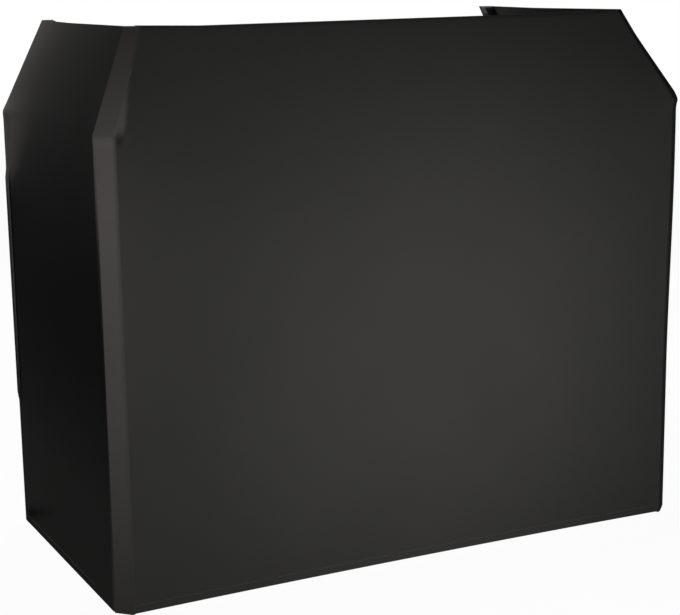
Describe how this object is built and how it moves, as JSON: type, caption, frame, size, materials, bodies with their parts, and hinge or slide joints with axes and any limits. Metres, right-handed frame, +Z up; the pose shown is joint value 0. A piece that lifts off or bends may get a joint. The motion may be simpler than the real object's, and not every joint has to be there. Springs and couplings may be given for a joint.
{
  "type": "dj booth",
  "caption": "Free-standing DJ booth: black stretch fabric over a tube frame with an inward-leaning hood, a table inside and an open back; frame and table fold flat.",
  "frame": {"origin": "on the floor, at the middle of the booth's outline", "axes": "+X to the right seen from the front, +Y from the front to the open back, +Z up"},
  "size_m": [1.39, 0.68, 1.18],
  "materials": {
    "powder_coat": "satin black powder coat on steel tube and bar",
    "black_bolt": "black oxide",
    "zinc_plate": "bright zinc plate",
    "foot_rubber": "matte black rubber",
    "cap_plastic": "moulded black plastic",
    "scrim": "matte black stretch knit",
    "webbing": "woven elastic webbing",
    "hook_tape": "black hook tape",
    "laminate": "black laminate on board",
    "edging": "black plastic edging"
  },
  "bodies": {
    "front_frame": {"front_left_upright": "powder_coat", "front_right_upright": "powder_coat", "front_top_rail": "powder_coat", "front_table_rail": "powder_coat", "front_lower_rail": "powder_coat", "front_rail_bolts": "black_bolt", "front_rail_screws": "zinc_plate", "front_feet": "foot_rubber", "front_upright_caps": "cap_plastic", "front_rail_hinge_leaves": "zinc_plate", "front_hinge_pins": "zinc_plate", "front_stay_brackets": "powder_coat", "front_stay_rivets": "zinc_plate", "front_scrim": "scrim", "left_side_scrim": "scrim", "right_side_scrim": "scrim", "top_hook_tape": "hook_tape", "hem_straps": "webbing"},
    "front_leaf": {"front_table_board": "laminate", "front_table_edging": "edging", "front_table_hinge_leaves": "zinc_plate", "centre_hinge_front_leaves": "zinc_plate", "centre_hinge_pins": "zinc_plate", "front_table_screws": "zinc_plate"},
    "rear_leaf": {"rear_table_board": "laminate", "rear_table_edging": "edging", "rear_table_hinge_leaves": "zinc_plate", "centre_hinge_rear_leaves": "zinc_plate", "rear_table_screws": "zinc_plate"},
    "rear_frame": {"rear_left_upright": "powder_coat", "rear_right_upright": "powder_coat", "rear_table_rail": "powder_coat", "rear_lower_rail": "powder_coat", "rear_rail_bolts": "black_bolt", "rear_rail_screws": "zinc_plate", "rear_feet": "foot_rubber", "rear_upright_caps": "cap_plastic", "rear_rail_hinge_leaves": "zinc_plate", "rear_hinge_pins": "zinc_plate", "rear_stay_brackets": "powder_coat", "rear_stay_rivets": "zinc_plate", "left_rear_flap": "scrim", "right_rear_flap": "scrim", "rear_hook_tape": "hook_tape"},
    "left_front_stay": {"left_front_stay": "powder_coat", "left_centre_rivet": "zinc_plate"},
    "left_rear_stay": {"left_rear_stay": "powder_coat"},
    "right_front_stay": {"right_front_stay": "powder_coat", "right_centre_rivet": "zinc_plate"},
    "right_rear_stay": {"right_rear_stay": "powder_coat"}
  },
  "joints": [
    {"name": "table_fold", "type": "hinge", "parent": "front_frame", "child": "front_leaf", "pos_m": [0, -0.28812, 0.852], "axis": [1, 0, 0], "range_deg": [0, 85], "deforming": ["left_side_scrim", "right_side_scrim"]},
    {"name": "table_centre", "type": "hinge", "parent": "front_leaf", "child": "rear_leaf", "pos_m": [0, 0.01019, 0.826], "axis": [1, 0, 0], "range_deg": [-170, 0]},
    {"name": "rear_frame_fold", "type": "hinge", "parent": "rear_leaf", "child": "rear_frame", "pos_m": [0, 0.3085, 0.852], "axis": [1, 0, 0], "range_deg": [0, 85]},
    {"name": "left_stay_fold", "type": "hinge", "parent": "front_frame", "child": "left_front_stay", "pos_m": [0, -0.28812, 0.3445], "axis": [1, 0, 0], "range_deg": [0, 85]},
    {"name": "left_stay_centre", "type": "hinge", "parent": "left_front_stay", "child": "left_rear_stay", "pos_m": [0, 0.01019, 0.3185], "axis": [1, 0, 0], "range_deg": [-170, 0]},
    {"name": "right_stay_fold", "type": "hinge", "parent": "front_frame", "child": "right_front_stay", "pos_m": [0, -0.28812, 0.3445], "axis": [1, 0, 0], "range_deg": [0, 85]},
    {"name": "right_stay_centre", "type": "hinge", "parent": "right_front_stay", "child": "right_rear_stay", "pos_m": [0, 0.01019, 0.3185], "axis": [1, 0, 0], "range_deg": [-170, 0]}
  ],
  "couplings": [
    {"joint": "table_centre", "follows": "table_fold", "ratio": -2},
    {"joint": "rear_frame_fold", "follows": "table_fold", "ratio": 1},
    {"joint": "left_stay_fold", "follows": "table_fold", "ratio": 1},
    {"joint": "left_stay_centre", "follows": "table_fold", "ratio": -2},
    {"joint": "right_stay_fold", "follows": "table_fold", "ratio": 1},
    {"joint": "right_stay_centre", "follows": "table_fold", "ratio": -2}
  ]
}
